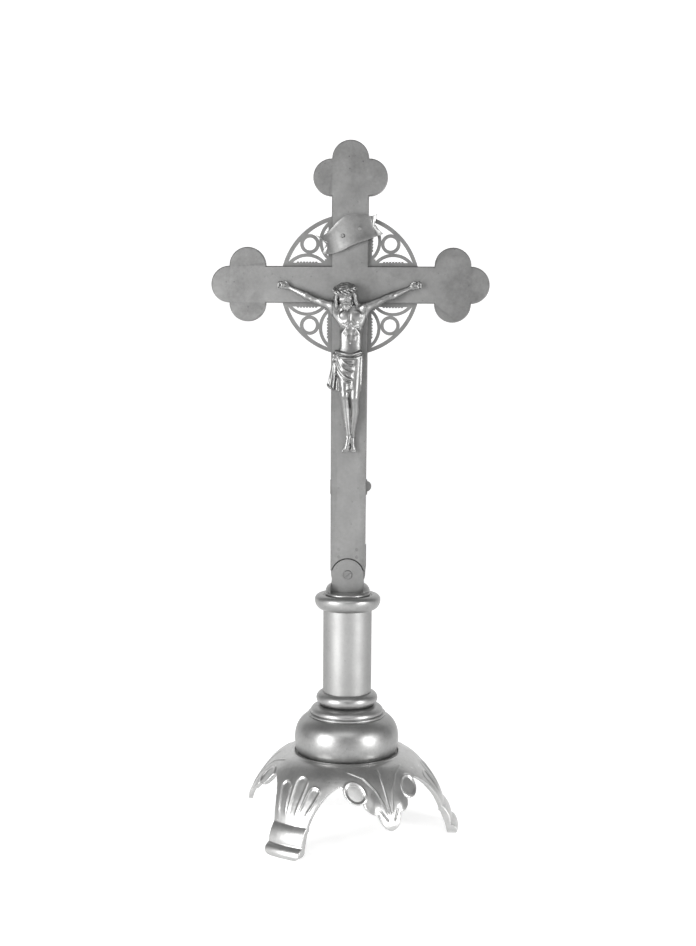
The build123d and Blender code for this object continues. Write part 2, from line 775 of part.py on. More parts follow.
with BuildPart() as base_tripod:
    for turn in (0, THIRD, 2 * THIRD):
        add(dome_third.part, rotation=(0, 0, turn))
    for turn in LEG_TURNS:
        add(leg_form.part, rotation=(0, 0, turn))
finish(base_tripod, "base_tripod")

# ================================================================ tie rod under the dome
BASE_WASHER_R = 12.0
BASE_WASHER_H = 1.6
BASE_NUT_R = 8.0
BASE_NUT_H = 6.0
ROD_TAIL = 2.0
ROD_LOW = UNDERSIDE - BASE_WASHER_H - BASE_NUT_H - ROD_TAIL
ROD_HIGH = COLUMN_TOP + 2 * SPIGOT

with BuildPart() as tie_rod:
    with BuildSketch(Plane.XY.offset(ROD_LOW)):
        Circle(ROD_R)
    extrude(amount=ROD_HIGH - ROD_LOW)
    chamfer(tie_rod.edges().filter_by(GeomType.CIRCLE), 0.5)
finish(tie_rod, "tie_rod")

with BuildPart() as base_washer:
    with BuildSketch(Plane.XY.offset(UNDERSIDE - BASE_WASHER_H)):
        Circle(BASE_WASHER_R)
        Circle(BORE_R, mode=Mode.SUBTRACT)
    extrude(amount=BASE_WASHER_H)
finish(base_washer, "base_washer")

with BuildPart() as base_nut:
    with BuildSketch(Plane.XY.offset(UNDERSIDE - BASE_WASHER_H - BASE_NUT_H)):
        RegularPolygon(BASE_NUT_R, 6)
        Circle(ROD_R, mode=Mode.SUBTRACT)
    extrude(amount=BASE_NUT_H)
finish(base_nut, "base_nut")
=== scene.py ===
import math
import random

import bmesh
import bpy
import numpy as np
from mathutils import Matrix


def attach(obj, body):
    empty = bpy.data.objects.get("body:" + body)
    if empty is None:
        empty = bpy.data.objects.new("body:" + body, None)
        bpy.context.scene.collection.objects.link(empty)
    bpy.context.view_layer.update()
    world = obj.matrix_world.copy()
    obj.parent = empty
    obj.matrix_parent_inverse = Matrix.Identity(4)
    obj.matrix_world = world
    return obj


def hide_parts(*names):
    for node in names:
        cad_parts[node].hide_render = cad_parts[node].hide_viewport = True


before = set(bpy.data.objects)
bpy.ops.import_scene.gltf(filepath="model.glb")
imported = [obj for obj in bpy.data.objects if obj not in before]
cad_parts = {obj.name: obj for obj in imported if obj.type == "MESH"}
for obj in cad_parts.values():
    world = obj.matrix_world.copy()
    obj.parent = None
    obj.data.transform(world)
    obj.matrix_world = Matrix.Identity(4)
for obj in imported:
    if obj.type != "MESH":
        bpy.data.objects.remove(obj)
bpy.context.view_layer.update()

import openvdb
from mathutils import Matrix, Vector

MM = 0.001
scene = bpy.context.scene


# ------------------------------------------------------------------ materials
CLOUD_SCALE = 38.0           # noise scales, from broad clouds of tone to fine specks
ROUGH_SCALE = 90.0
MOTTLE_SCALE = 420.0
GRAIN_SCALE = 900.0
SPECK_SCALE = 1500.0
PIT_SCALE = 260.0
PIT_PATCH_SCALE = 120.0
TURNING_SCALE = 60.0
TARNISH = 0.35               # strength of the dark specks
GRAIN = 0.25                 # height of the fine grain
BUMP_STRENGTH = 0.35
BUMP_DISTANCE = 0.00018


def metal(name, dark, light, rough, pit=0.0, streak=0.0, edge=0.12):
    """Satin silver-toned metal: cloudy tone, finer mottling, pits, worn bright edges, painted shade
    in the hollows and fine grain.
    dark and light are the two greys of the cloudy tone, and rough the two limits of the roughness.
    pit, streak and edge are the strengths of the pits, the turning marks and the worn edges; edge
    also sets the strength of the painted shade in the hollows."""
    mat = bpy.data.materials.new(name)
    mat.use_nodes = True
    tree = mat.node_tree
    nodes, links = tree.nodes, tree.links
    shader = nodes["Principled BSDF"]
    shader.inputs["Metallic"].default_value = 1.0
    coord = nodes.new("ShaderNodeTexCoord")

    def noise(scale, detail, roughness=0.55, stretch=None):
        tex = nodes.new("ShaderNodeTexNoise")
        tex.inputs["Scale"].default_value = scale
        tex.inputs["Detail"].default_value = detail
        tex.inputs["Roughness"].default_value = roughness
        if stretch:
            warp = nodes.new("ShaderNodeMapping")
            warp.inputs["Scale"].default_value = stretch
            links.new(coord.outputs["Object"], warp.inputs["Vector"])
            links.new(warp.outputs["Vector"], tex.inputs["Vector"])
        else:
            links.new(coord.outputs["Object"], tex.inputs["Vector"])
        return tex.outputs["Fac"]

    def ramp(value, low, high, first=0.0, last=1.0):
        node = nodes.new("ShaderNodeMapRange")
        node.inputs["From Min"].default_value = low
        node.inputs["From Max"].default_value = high
        node.inputs["To Min"].default_value = first
        node.inputs["To Max"].default_value = last
        links.new(value, node.inputs["Value"])
        return node.outputs["Result"]

    def math_node(operation, first, second):
        node = nodes.new("ShaderNodeMath")
        node.operation = operation
        for slot_at, value in enumerate((first, second)):
            if isinstance(value, (int, float)):
                node.inputs[slot_at].default_value = value
            else:
                links.new(value, node.inputs[slot_at])
        return node.outputs["Value"]

    def mix(factor, first, second):
        node = nodes.new("ShaderNodeMix")
        node.data_type = "RGBA"
        links.new(factor, node.inputs["Factor"])
        for label, value in (("A", first), ("B", second)):
            socket = [s for s in node.inputs if s.name == label and s.type == "RGBA"][0]
            if isinstance(value, tuple):
                socket.default_value = (*value, 1.0)
            else:
                links.new(value, socket)
        return [s for s in node.outputs if s.type == "RGBA"][0]

    cloud = noise(CLOUD_SCALE, 3.0)
    mottle = noise(MOTTLE_SCALE, 4.0, 0.65)
    speck = noise(SPECK_SCALE, 2.0, 0.5)
    blend = math_node("ADD", ramp(cloud, 0.3, 0.7, 0.0, 0.62), ramp(mottle, 0.3, 0.7, 0.0, 0.38))
    colour = mix(blend, dark, light)
    # dark specks of tarnish, sparse
    tarnished = ramp(speck, 0.66, 0.74, 0.0, TARNISH)
    colour = mix(tarnished, colour, tuple(0.35 * c for c in dark))
    # pits: the middles of Voronoi cells, only where a noise lets them
    cells = nodes.new("ShaderNodeTexVoronoi")
    cells.inputs["Scale"].default_value = PIT_SCALE
    links.new(coord.outputs["Object"], cells.inputs["Vector"])
    dots = ramp(cells.outputs["Distance"], 0.06, 0.20, 1.0, 0.0)
    chosen = ramp(noise(PIT_PATCH_SCALE, 1.0), 0.54, 0.60)
    pits = math_node("MULTIPLY", dots, chosen)
    colour = mix(math_node("MULTIPLY", pits, pit), colour, tuple(0.25 * c for c in dark))
    # edges rubbed bright by wear, and hollows darkened as painted shade
    shape = nodes.new("ShaderNodeNewGeometry")
    worn = ramp(shape.outputs["Pointiness"], 0.52, 0.60, 0.0, edge * 4.0)
    # painted shade: where Pointiness is low, the concave places are darkened towards a dark grey
    hollow = ramp(shape.outputs["Pointiness"], 0.40, 0.48, edge * 3.0, 0.0)
    colour = mix(worn, colour, tuple(min(1.0, 1.35 * c) for c in light))
    colour = mix(hollow, colour, tuple(0.45 * c for c in dark))
    links.new(colour, shader.inputs["Base Color"])

    rough_value = math_node(
        "ADD",
        ramp(noise(ROUGH_SCALE, 4.0, 0.6), 0.3, 0.7, rough[0], rough[1]),
        math_node("MULTIPLY", tarnished, 0.3),
    )
    links.new(rough_value, shader.inputs["Roughness"])

    height = math_node("MULTIPLY", noise(GRAIN_SCALE, 4.0, 0.6), GRAIN)
    height = math_node("SUBTRACT", height, math_node("MULTIPLY", pits, pit * 1.5))
    if streak:
        turned = noise(TURNING_SCALE, 3.0, 0.6, stretch=(1.0, 1.0, 60.0))
        height = math_node("ADD", height, math_node("MULTIPLY", turned, streak))
    bump = nodes.new("ShaderNodeBump")
    bump.inputs["Strength"].default_value = BUMP_STRENGTH
    bump.inputs["Distance"].default_value = BUMP_DISTANCE
    links.new(height, bump.inputs["Height"])
    links.new(bump.outputs["Normal"], shader.inputs["Normal"])
    return mat


CROSS = metal(
    "cross_matt_silver", (0.11, 0.11, 0.109), (0.235, 0.235, 0.233), (0.42, 0.54), pit=0.7
)
RING = metal("ring_matt_silver", (0.125, 0.125, 0.124), (0.21, 0.21, 0.208), (0.36, 0.50))
FIGURE = metal(
    "figure_satin_silver", (0.17, 0.17, 0.169), (0.29, 0.29, 0.287), (0.33, 0.45), edge=0.2
)
TURNED = metal(
    "turned_satin_silver", (0.25, 0.25, 0.248), (0.37, 0.37, 0.367), (0.34, 0.44), streak=0.3
)
COLUMN = metal(
    "column_matt_silver", (0.19, 0.19, 0.188), (0.30, 0.30, 0.297), (0.46, 0.58),
    pit=0.5, streak=0.3,
)
BASE = metal(
    "cast_base_silver", (0.36, 0.36, 0.357), (0.54, 0.54, 0.535), (0.28, 0.38), pit=0.3
)
STEEL = metal(
    "fastener_steel", (0.24, 0.24, 0.24), (0.34, 0.34, 0.34), (0.30, 0.45), streak=0.4
)

LOOKS = {
    "cross_body": CROSS,
    "knuckle_lug": CROSS,
    "rear_ear": CROSS,
    "ear_rivets": CROSS,
    "band_rivets": CROSS,
    "back_band": RING,
    "ring_lower_left": RING,
    "ring_lower_right": RING,
    "ring_upper_left": RING,
    "ring_upper_right": RING,
    "titulus_scroll": FIGURE,
    "titulus_pins": FIGURE,
    "corpus_body": FIGURE,
    "corpus_arm_left": FIGURE,
    "corpus_arm_right": FIGURE,
    "hand_nails": FIGURE,
    "foot_nail": FIGURE,
    "cap": TURNED,
    "collar_ring": TURNED,
    "column_tube": COLUMN,
    "lower_torus": TURNED,
    "ogee_ring": TURNED,
    "fillet_ring": TURNED,
    "bulb_shell": TURNED,
    "pivot_screw": CROSS,
    "base_tripod": BASE,
}


def dress(obj, look):
    """Give an object one material and no other."""
    obj.data.materials.clear()
    obj.data.materials.append(look)


for name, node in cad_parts.items():
    dress(node, LOOKS.get(name, STEEL))


# ------------------------------------------------------------------ solid modelling on a grid, in mm
def catmull(p0, p1, p2, p3, t):
    """Point on a Catmull-Rom curve between p1, at t = 0, and p2, at t = 1."""
    return 0.5 * (
        2 * p1 + (p2 - p0) * t + (2 * p0 - 5 * p1 + 4 * p2 - p3) * t * t
        + (3 * p1 - p0 - 3 * p2 + p3) * t ** 3
    )


class Field:
    """Signed distance on a regular grid, built up from round forms that melt into each other."""

    FAR = 4.0     # distance held by the cells that no form has reached

    def __init__(self, low, high, step):
        self.low = np.array(low, dtype=np.float32)
        self.step = step
        self.count = [int(math.ceil((high[i] - low[i]) / step)) + 1 for i in range(3)]
        self.grid = np.full(self.count, self.FAR, dtype=np.float32)

    def cells(self, first, last):
        """Coordinates of the cells from first up to last, shaped to spread over each other."""
        x, y, z = (
            (self.low[i] + self.step * np.arange(first[i], last[i])).astype(np.float32)
            for i in range(3)
        )
        return x[:, None, None], y[None, :, None], z[None, None, :]

    def window(self, low, high, margin=1.8):
        """The part of the grid round a box, with its coordinates, or None if it is outside."""
        first = [max(0, int((low[i] - margin - self.low[i]) / self.step)) for i in range(3)]
        last = [
            min(self.count[i], int((high[i] + margin - self.low[i]) / self.step) + 2)
            for i in range(3)
        ]
        if any(first[i] >= last[i] for i in range(3)):
            return None
        part = tuple(slice(first[i], last[i]) for i in range(3))
        return (part, *self.cells(first, last))

    def blend(self, part, new, melt, cut):
        """Add a form to a part of the grid, or cut it away, rounded over the width melt."""
        old = self.grid[part]
        if cut:
            share = np.clip(0.5 - 0.5 * (old + new) / melt, 0.0, 1.0)
            self.grid[part] = old * (1 - share) - new * share + melt * share * (1 - share)
        else:
            share = np.clip(0.5 + 0.5 * (old - new) / melt, 0.0, 1.0)
            self.grid[part] = old * (1 - share) + new * share - melt * share * (1 - share)

    def bone(self, a, ra, b, rb, melt=1.0, cut=False):
        """Round-ended tapered rod from a to b."""
        big = max(ra, rb)
        found = self.window(
            [min(a[i], b[i]) - big for i in range(3)], [max(a[i], b[i]) + big for i in range(3)]
        )
        if not found:
            return
        part, x, y, z = found
        along = [b[i] - a[i] for i in range(3)]
        length2 = max(sum(v * v for v in along), 1e-6)
        dx, dy, dz = x - a[0], y - a[1], z - a[2]
        t = np.clip((dx * along[0] + dy * along[1] + dz * along[2]) / length2, 0.0, 1.0)
        gap = np.sqrt(
            (dx - t * along[0]) ** 2 + (dy - t * along[1]) ** 2 + (dz - t * along[2]) ** 2
        )
        self.blend(part, gap - (ra + t * (rb - ra)), melt, cut)

    def egg(self, centre, radii, melt=1.0, cut=False, tilt=0.0):
        """Ellipsoid, tilted about the front-to-back axis by tilt degrees."""
        big = max(radii)
        found = self.window([c - big for c in centre], [c + big for c in centre])
        if not found:
            return
        part, x, y, z = found
        turn = math.radians(tilt)
        dx, dy, dz = x - centre[0], y - centre[1], z - centre[2]
        u = dx * math.cos(turn) + dz * math.sin(turn)
        w = -dx * math.sin(turn) + dz * math.cos(turn)
        k0 = np.sqrt((u / radii[0]) ** 2 + (dy / radii[1]) ** 2 + (w / radii[2]) ** 2)
        k1 = np.sqrt(
            (u / radii[0] ** 2) ** 2 + (dy / radii[1] ** 2) ** 2 + (w / radii[2] ** 2) ** 2
        )
        self.blend(part, k0 * (k0 - 1.0) / np.maximum(k1, 1e-4), melt, cut)

    def strand(self, points, radii, melt=0.4, cut=False, steps=10):
        """Tapered cord through points, smoothed as a Catmull-Rom curve."""
        pts = [points[0]] + list(points) + [points[-1]]
        path = []
        for at in range(1, len(pts) - 2):
            p0, p1, p2, p3 = (np.array(p, dtype=float) for p in pts[at - 1:at + 3])
            for k in range(steps):
                path.append(catmull(p0, p1, p2, p3, k / steps))
        path.append(np.array(points[-1], dtype=float))
        last = len(path) - 1
        for at in range(last):
            r0 = np.interp(at / last, np.linspace(0, 1, len(radii)), radii)
            r1 = np.interp((at + 1) / last, np.linspace(0, 1, len(radii)), radii)
            self.bone(tuple(path[at]), r0, tuple(path[at + 1]), r1, melt, cut)

    def mesh(self, name, place, stop=None):
        """Quads of the zero surface as a smooth-shaded object; place maps its points, in mm, to the
        frame, and stop is a distance that is positive where the piece ends."""
        values = self.grid
        if stop:
            values = np.maximum(values, stop(*self.cells((0, 0, 0), self.count)))
        volume = openvdb.FloatGrid(self.FAR)
        volume.copyFromArray(np.ascontiguousarray(values.astype(np.float32)))
        points, quads = volume.convertToQuads(isovalue=0.0)
        points = place(points * self.step + self.low) * MM
        data = bpy.data.meshes.new(name)
        data.from_pydata(points.tolist(), [], quads[:, ::-1].tolist())
        data.validate()
        data.polygons.foreach_set("use_smooth", [True] * len(data.polygons))
        obj = bpy.data.objects.new(name, data)
        scene.collection.objects.link(obj)
        return obj


def relax(obj, factor=0.5, repeat=3):
    """Smooth an object's mesh a little and keep the result."""
    modifier = obj.modifiers.new("relax", "SMOOTH")
    modifier.factor = factor
    modifier.iterations = repeat
    apply_modifiers(obj)


def apply_modifiers(obj):
    """Keep the result of an object's modifiers as its mesh."""
    graph = bpy.context.evaluated_depsgraph_get()
    baked = bpy.data.meshes.new_from_object(obj.evaluated_get(graph))
    obj.modifiers.clear()
    obj.data = baked


# ------------------------------------------------------------------ corpus: trunk, arms and legs
BODY_CELL = 0.34
CHEST_X = 1.3              # the chest hangs a little to the viewer's right
RIBS = 5
RIB_TOP = 373.6
RIB_PITCH = 2.15
BELLY_ROWS = (366.6, 362.4)
body = Field((-53.0, -19.0, 277.0), (53.0, -2.0, 404.0), BODY_CELL)
# trunk: rib cage, shoulders, neck, waist, belly and hips
body.egg((CHEST_X, -8.4, 375.4), (9.0, 4.7, 9.5), 1.5)
body.bone((-9.0, -7.8, 383.0), 2.9, (8.8, -7.8, 382.2), 2.9, 2.0)
body.bone((-0.8, -9.0, 383.5), 2.7, (-2.4, -10.6, 388.5), 2.6, 1.6)
body.egg((1.2, -8.3, 362.0), (7.0, 4.0, 11.0), 2.5)
body.egg((1.0, -8.9, 357.0), (5.6, 3.7, 6.5), 2.2)
body.egg((0.9, -8.8, 350.5), (9.0, 4.4, 6.5), 2.0)
for side in (-1, 1):
    # chest muscle, the muscle up to the arm, and the side of the chest
    body.egg((CHEST_X + side * 3.9, -11.4, 377.6), (4.1, 1.7, 3.2), 1.0, tilt=side * -14)
    body.bone((CHEST_X + side * 7.8, -8.6, 377.5), 1.9, (side * 12.0, -8.2, 383.4), 2.5, 1.6)
    body.bone((CHEST_X + side * 7.4, -7.6, 376.0), 1.8,
              (CHEST_X + side * 6.2, -7.8, 365.0), 1.5, 1.2)
    for rib in range(RIBS):
        high = RIB_TOP - RIB_PITCH * rib
        body.strand(
            [
                (CHEST_X + side * 1.9, -12.5 + 0.28 * rib, high - 0.2 - 0.5 * rib),
                (CHEST_X + side * 4.4, -11.6 + 0.25 * rib, high - 1.5),
                (CHEST_X + side * (6.6 - 0.35 * rib), -8.8, high + 0.6),
            ],
            (0.25, 0.42, 0.4), 0.9, steps=5,
        )
    # edge of the rib cage
    body.strand(
        [(CHEST_X + side * 0.8, -12.6, 371.8), (CHEST_X + side * 3.2, -12.2, 368.2),
         (CHEST_X + side * 5.8, -10.4, 364.4)],
        (0.2, 0.25, 0.2), 1.2, steps=6,
    )
    # collar bone and cord of the neck
    body.strand(
        [(-0.6 + side * 0.9, -11.2, 383.4), (side * 5.0, -10.6, 384.3),
         (side * 9.2, -9.0, 385.4)],
        (0.6, 0.65, 0.6), 0.9, steps=5,
    )
    body.bone((-0.5 + side * 0.7, -11.2, 383.6), 0.6, (-2.6 + side * 2.6, -10.4, 388.5), 0.7, 0.8)
    # flanks
    body.egg((CHEST_X + side * 4.4, -8.3, 359.5), (3.4, 2.8, 10.0), 2.5)
    body.bone((CHEST_X + side * 6.8, -8.4, 372.0), 2.2, (side * 12.6, -8.2, 382.0), 2.9, 2.0)
    # belly segments
    for high in BELLY_ROWS:
        body.egg((CHEST_X + side * 1.8, -12.2, high - 0.6), (1.7, 0.55, 1.9), 0.9)
# sternum and belly furrow, navel
body.bone((0.8, -13.6, 380.5), 0.5, (0.9, -13.3, 374.0), 0.5, 1.0, cut=True)
body.bone((1.2, -13.5, 371.0), 0.3, (1.0, -13.4, 359.5), 0.3, 1.0, cut=True)
body.egg((0.7, -13.1, 357.6), (0.5, 0.8, 0.65), 0.5, cut=True)

# arms, sagging from the hands to the shoulders
FINGERS = 4
for side in (-1, 1):
    shoulder = (side * 11.4, -8.2, 383.8 if side < 0 else 383.0)
    upper_arm = (side * 19.0, -8.0, 386.2)
    elbow = (side * 26.1, -7.6, 388.9 if side < 0 else 390.0)
    forearm = (side * 30.5, -7.3, 391.2)
    wrist = (side * 41.8, -5.5, 396.4)
    thumb = (side * 45.6, -7.0, 400.9)
    body.egg((shoulder[0], -8.6, shoulder[2] + 0.2), (4.6, 3.5, 3.7), 1.4, tilt=side * 25)
    body.bone(shoulder, 3.5, upper_arm, 2.9, 1.2)
    body.bone(upper_arm, 2.9, elbow, 2.35, 1.2)
    body.bone((side * 14.5, -9.2, 385.2), 1.9, (side * 21.0, -9.0, 387.9), 1.7, 1.0)
    body.bone((side * 13.6, -7.6, 383.2), 1.8, (side * 22.0, -7.4, 386.4), 1.5, 1.0)
    body.bone(elbow, 2.3, forearm, 2.7, 1.0)
    body.bone(forearm, 2.7, wrist, 1.6, 1.2)
    body.bone((side * 28.5, -8.3, 391.2), 1.1, (side * 38.0, -6.6, 395.4), 0.8, 0.9)
    # cord along the forearm
    body.bone((side * 33.0, -8.4, 392.6), 0.4, (side * 41.4, -6.5, 396.6), 0.35, 0.6)
    # hand: palm, four curled fingers, thumb
    body.egg((side * 45.4, -5.4, 398.0), (3.9, 1.95, 2.7), 0.9, tilt=side * 22)
    for finger in range(FINGERS):
        spread = finger / (FINGERS - 1)
        root = (side * (47.0 + 0.8 * spread), -5.3, 400.2 - 3.6 * spread)
        knuckle = (side * (49.2 + 0.5 * spread), -6.1, 400.6 - 3.5 * spread)
        tip = (side * (50.4 + 0.3 * spread), -7.6, 399.9 - 3.0 * spread)
        body.bone(root, 0.85, knuckle, 0.8, 0.3)
        body.bone(knuckle, 0.8, tip, 0.6, 0.3)
    body.bone((side * 43.6, -5.8, 399.4), 0.75, thumb, 0.6, 0.5)
    body.bone(thumb, 0.6, (side * 47.2, -7.7, 400.4), 0.5, 0.4)

# legs side by side, a little bent at the knee, with the left foot in front of the right
LEGS = (
    # hip, knee, calf, ankle, in order: left then right
    ((-3.6, -9.2, 346.0), (-2.4, -12.2, 321.0), (-1.6, -9.2, 310.5), (0.1, -8.6, 293.5)),
    ((5.2, -9.2, 346.0), (4.4, -12.0, 319.5), (4.6, -8.4, 309.5), (2.9, -6.2, 293.5)),
)
for hip, knee, calf, ankle in LEGS:
    body.bone(hip, 4.9, knee, 3.3, 0.7)
    body.bone(knee, 2.9, calf, 3.0, 0.6)
    body.bone(calf, 3.05, ankle, 1.75, 0.6)
    # kneecap, shin and ankle bones
    body.egg((knee[0], knee[1] - 1.3, knee[2] + 0.4), (1.9, 1.3, 2.3), 0.8)
    body.bone((knee[0], knee[1] - 0.9, knee[2] - 3.0), 0.75,
              (ankle[0], ankle[1] - 1.0, ankle[2] + 2.0), 0.5, 0.8)
    for side in (-1, 1):
        body.egg((ankle[0] + side * 1.35, ankle[1], ankle[2] - 1.2), (0.7, 0.8, 0.9), 0.5)
FEET = (
    # heel, ball, first toe root x, direction of the smaller toes
    ((0.2, -8.0, 290.5), (-1.2, -8.6, 283.0), -3.6, 1),
    ((2.7, -5.6, 290.0), (3.0, -6.3, 282.8), 4.9, -1),
)
TOES = 5
TOE_PITCH = 0.95
BIG_TOE_R = 0.78
TOE_R = 0.55
TOE_LOW = 279.9
TOE_RISE = 0.22            # each toe ends a little higher than the one before
for heel, ball, big_toe, toward in FEET:
    body.bone(heel, 1.95, ball, 1.7, 0.9)
    body.egg((ball[0], ball[1], ball[2] + 0.3), (2.3, 1.2, 2.0), 0.7)
    for toe in range(TOES):
        x = big_toe + toward * (TOE_PITCH * toe)
        radius = BIG_TOE_R if toe == 0 else TOE_R
        drop = TOE_LOW + TOE_RISE * toe
        body.bone((x * 0.9 + ball[0] * 0.1, ball[1] - 0.2, 282.4), radius,
                  (x, ball[1] - 0.4, drop + radius - 0.2), radius * 0.92, 0.28)

# ------------------------------------------------------------------ loincloth
CLOTH_Y = -9.1
CLOTH_TOP = 351.0
CLOTH_FALL = 27.0
CLOTH_LAYERS = 10


def cloth(x, z, out=0.0):
    """Point on the front of the wrapped cloth, at x and z, standing out of it by out."""
    down = (CLOTH_TOP - z) / CLOTH_FALL
    half = 10.0 - 0.8 * down
    middle = 0.6 - 0.4 * down
    deep = 4.9 + 0.5 * down
    across = max(-0.999, min(0.999, (x - middle) / half))
    return (x, CLOTH_Y - (deep + out) * math.sqrt(1.0 - across * across), z)


for layer in range(CLOTH_LAYERS):
    z0 = CLOTH_TOP - CLOTH_FALL / CLOTH_LAYERS * layer
    down = layer / (CLOTH_LAYERS - 1)
    body.egg((0.6 - 0.4 * down, CLOTH_Y, z0 - 1.6), (9.9 - 0.9 * down, 4.7 + 0.5 * down, 3.2), 0.8)
# rolled waist, sagging in the middle, and its second turn
body.strand([cloth(-9.2, 352.0, -0.3), cloth(-4.0, 350.4, 0.3), cloth(2.0, 349.6, 0.5),
             cloth(9.0, 351.6, -0.3)], (1.0, 1.15, 1.1, 1.0), 0.5)
body.strand([cloth(-9.3, 349.2, -0.2), cloth(-3.5, 347.5, 0.3), cloth(3.0, 347.0, 0.4),
             cloth(9.1, 348.6, -0.2)], (0.85, 0.8, 0.8, 0.8), 0.4)
# long diagonal folds from the knot at the left hip
FOLDS = (
    # four places on the cloth, from the knot to the far end, and the half width
    ((-9.0, 347.5), (-6.6, 339.0), (-0.2, 332.8), (8.6, 331.4), 0.95),
    ((-9.0, 346.0), (-7.2, 336.6), (-1.2, 330.4), (8.2, 329.8), 0.55),
    ((-7.8, 347.8), (-4.6, 341.0), (0.4, 337.6), (5.4, 338.4), 0.6),
    ((-6.0, 348.0), (-2.4, 344.0), (1.6, 342.2), (5.2, 343.4), 0.45),
)
for first, second, third, fourth, width in FOLDS:
    body.strand([cloth(*first), cloth(*second, 0.25), cloth(*third, 0.35), cloth(*fourth, 0.1)],
                (width * 0.6, width, width, width * 0.5), 0.5)
# folds falling from the right hip
RIGHT_FOLDS = (
    # x at the waist, x and z at the low end, half width
    (9.3, 8.8, 328.5, 0.7),
    (7.6, 6.6, 331.5, 0.6),
    (6.0, 3.6, 335.0, 0.5),
)
for x_top, x_low, z_low, width in RIGHT_FOLDS:
    body.strand(
        [cloth(x_top, 347.5), cloth((x_top + x_low) / 2, 339.0, 0.3), cloth(x_low, z_low, 0.1)],
        (width * 0.7, width, width * 0.8), 0.5,
    )
# lower layer over the thighs, with its hem
for x_top, x_low, z_low in ((-8.2, -7.8, 323.6), (-3.6, -3.2, 323.8), (3.4, 3.0, 325.4)):
    body.strand([cloth(x_top, 332.0, -0.5), cloth(x_low, z_low + 1.0, 0.1)], (0.4, 0.7), 0.9)
body.strand([cloth(-8.9, 324.6, -0.2), cloth(-4.5, 323.4, 0.2), cloth(0.0, 324.0, 0.2),
             cloth(4.0, 325.8, 0.1), cloth(7.4, 327.6, -0.2)], (0.4, 0.45, 0.45, 0.45, 0.4), 0.45)
# knot and the hanging end at the left hip
body.egg((-9.8, -10.4, 349.0), (1.9, 1.8, 2.3), 0.6, tilt=20)
body.egg((-10.6, -9.6, 346.2), (1.6, 1.5, 2.0), 0.6, tilt=-15)
HANGING_FOLDS = (
    # step to the viewer's right, depth, low end
    (0.0, -6.2, 327.6),
    (1.3, -7.2, 326.2),
    (2.6, -6.4, 327.0),
    (3.7, -7.6, 325.4),
)
for shift, depth, low in HANGING_FOLDS:
    body.strand(
        [(-10.6 + 0.3 * shift, -8.6, 346.0), (-11.8 + 0.6 * shift, depth - 0.8, 340.0),
         (-13.3 + 0.9 * shift, depth, 333.0), (-14.5 + shift, depth + 0.3, low)],
        (0.9, 0.8, 0.9, 1.0), 0.35,
    )
body.strand([(-15.0, -5.8, 328.6), (-14.2, -7.4, 327.0), (-13.0, -6.2, 326.6), (-12.0, -8.0, 325.4),
             (-10.8, -6.8, 325.2)], (0.7, 0.7, 0.7, 0.7, 0.6), 0.3)

# ------------------------------------------------------------------ head, hair, beard and crown
# modelled upright in the head's own axes: u to the viewer's right, v to the front, w up
HEAD_CELL = 0.17
CAP_CENTRE = (0.0, -0.9, 2.4)
CAP_RADII = (6.1, 6.4, 5.7)


def on_cap(u, v, w):
    """The point pushed in or out onto the hair that covers the skull."""
    away = (u - CAP_CENTRE[0], v - CAP_CENTRE[1], w - CAP_CENTRE[2])
    reach = math.sqrt((away[0] / CAP_RADII[0]) ** 2 + (away[1] / CAP_RADII[1]) ** 2
                      + (away[2] / CAP_RADII[2]) ** 2)
    return tuple(away[i] / reach + CAP_CENTRE[i] for i in range(3))


head = Field((-10.0, -8.5, -13.5), (10.0, 9.5, 9.6), HEAD_CELL)
head.egg(CAP_CENTRE, CAP_RADII, 0.8)
# face, chin, neck and forehead
head.egg((0.0, 1.6, -1.6), (4.6, 4.3, 5.6), 1.4)
head.egg((0.0, 3.7, -6.1), (2.2, 1.8, 1.6), 1.3)
head.bone((0.0, -1.4, -3.0), 3.3, (0.4, -2.8, -9.0), 3.0, 1.0)
head.egg((0.0, 4.4, 4.0), (3.3, 1.6, 2.6), 1.4)
for side in (-1, 1):
    # cheek, jaw, eye socket and brow
    head.egg((side * 2.9, 3.7, -1.3), (1.5, 1.3, 1.1), 1.0)
    head.bone((side * 3.5, 1.2, -3.0), 1.1, (side * 1.6, 3.6, -6.4), 1.1, 1.2)
    head.egg((side * 1.85, 6.2, 0.45), (1.35, 1.0, 0.85), 0.5, cut=True)
    head.strand([(side * 0.5, 5.75, 1.35), (side * 1.9, 5.6, 1.85), (side * 3.4, 4.5, 1.3)],
                (0.42, 0.42, 0.3), 0.5, steps=4)
    # closed eye with the line of its lid
    head.egg((side * 1.85, 4.75, 0.3), (1.05, 0.85, 0.68), 0.22)
    head.strand([(side * 0.85, 5.5, 0.0), (side * 1.85, 5.72, -0.25), (side * 2.85, 5.2, 0.05)],
                (0.12, 0.14, 0.12), 0.1, cut=True, steps=4)
    # nostril, upper lip and moustache
    head.egg((side * 0.72, 6.35, -2.65), (0.45, 0.55, 0.42), 0.3)
    head.strand([(side * 0.05, 6.35, -4.05), (side * 0.7, 6.15, -4.0), (side * 1.5, 5.6, -4.35)],
                (0.3, 0.32, 0.2), 0.25, steps=4)
    head.strand([(side * 0.4, 6.35, -3.45), (side * 1.6, 5.95, -3.9), (side * 2.6, 4.9, -5.4),
                 (side * 2.7, 4.4, -7.0)], (0.34, 0.42, 0.42, 0.25), 0.22, steps=5)
# nose, lower lip and the line between the lips
head.bone((0.0, 5.7, 1.3), 0.48, (0.0, 7.0, -2.2), 0.55, 0.5)
head.egg((0.0, 7.15, -2.4), (0.62, 0.6, 0.55), 0.35)
head.bone((-1.0, 5.75, -4.85), 0.36, (1.0, 5.75, -4.85), 0.36, 0.3)
head.bone((-1.5, 6.15, -4.45), 0.13, (1.5, 6.15, -4.45), 0.13, 0.12, cut=True)

dice = random.Random(7)
